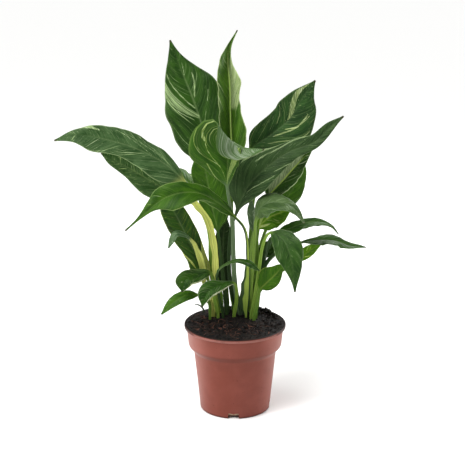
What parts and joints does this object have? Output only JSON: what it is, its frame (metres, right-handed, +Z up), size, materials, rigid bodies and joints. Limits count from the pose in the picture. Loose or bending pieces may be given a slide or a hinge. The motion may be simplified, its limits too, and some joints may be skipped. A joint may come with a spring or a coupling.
{
  "type": "potted peace lily",
  "caption": "Potted peace lily: variegated lance-shaped leaves on upright stems, rising from dark peat in a round, shouldered nursery pot.",
  "frame": {"origin": "middle of the flat pad under the pot, on the plane that the pot stands on", "axes": "+Z up along the pot's axis, -Y the front that faces the viewer, +X to the viewer's right"},
  "size_m": [0.3595, 0.1994, 0.4445],
  "materials": {
    "pot_plastic": "satin",
    "peat": "matte",
    "leaf": "satin",
    "dead_shoot": "matte"
  },
  "bodies": {
    "root": {"pot": "pot_plastic", "soil": "peat", "leaf_top_left": "leaf", "leaf_top_centre": "leaf", "leaf_front_centre": "leaf", "leaf_top_right": "leaf", "leaf_long_right": "leaf", "leaf_pale_right": "leaf", "leaf_round_right": "leaf", "leaf_drooping_right": "leaf", "leaf_bright_right": "leaf", "leaf_arched_right": "leaf", "leaf_hanging_front": "leaf", "leaf_far_right": "leaf", "leaf_tucked_right": "leaf", "leaf_small_round": "leaf", "leaf_small_inner": "leaf", "leaf_thin_across": "leaf", "leaf_front_left": "leaf", "leaf_upper_left": "leaf", "leaf_lower_left": "leaf", "leaf_tall_left": "leaf", "leaf_narrow_left": "leaf", "leaf_small_left": "leaf", "leaf_low_left": "leaf", "leaf_small_front": "leaf", "leaf_upright_inner": "leaf", "leaf_mid_centre": "leaf", "leaf_dark_inner": "leaf", "leaf_back_centre": "leaf", "leaf_back_right": "leaf", "leaf_back_left": "leaf", "stub_bent": "dead_shoot", "stub_dark": "dead_shoot"}
  },
  "joints": []
}
